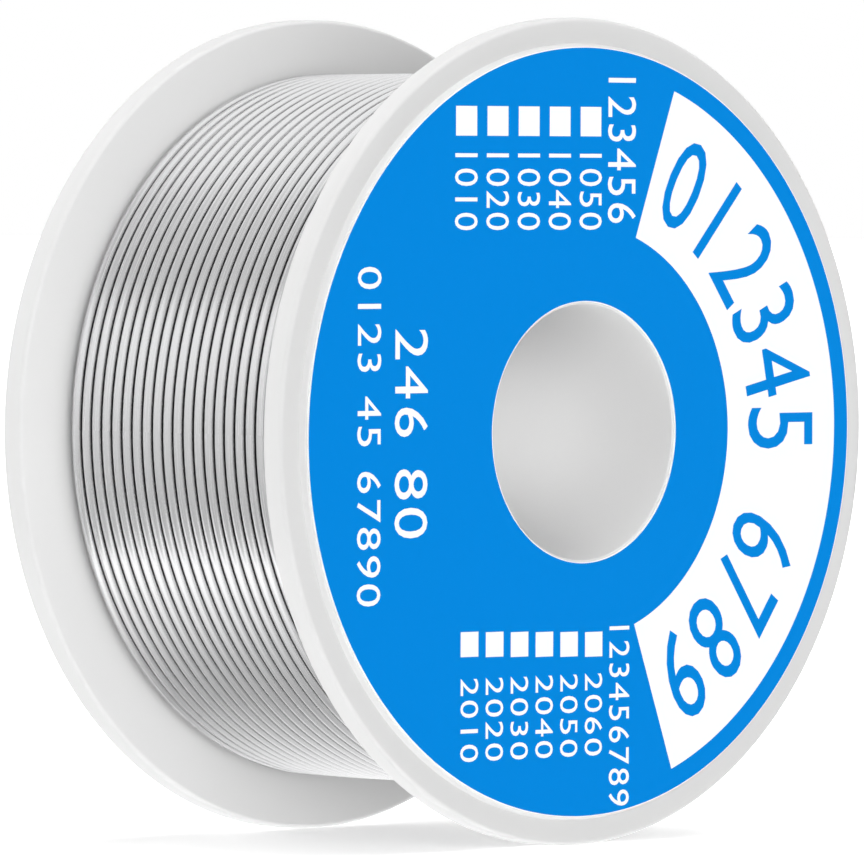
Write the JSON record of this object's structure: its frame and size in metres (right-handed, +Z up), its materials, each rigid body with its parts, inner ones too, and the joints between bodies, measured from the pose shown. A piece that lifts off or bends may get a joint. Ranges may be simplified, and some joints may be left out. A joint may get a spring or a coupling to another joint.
{
  "type": "solder wire reel",
  "caption": "Reel of flux-cored solder wire: moulded flanges and barrel, wound wire, round front label and a spindle bore.",
  "frame": {"origin": "middle of the spindle bore", "axes": "+Y along the bore, away from the label; +Z up, with the reel standing on its two rims"},
  "size_m": [0.06, 0.0301, 0.06],
  "materials": {
    "moulded_plastic": "moulded, satin",
    "label_paper": "printed, semi-gloss",
    "solder_alloy": "drawn, bright",
    "rosin_flux": "brittle resin"
  },
  "bodies": {
    "root": {"front_flange": "moulded_plastic", "rear_flange": "moulded_plastic", "barrel": "moulded_plastic", "front_label": "label_paper", "solder_inner_layers": "solder_alloy", "solder_outer_layer": "solder_alloy", "flux_core": "rosin_flux"}
  },
  "joints": []
}
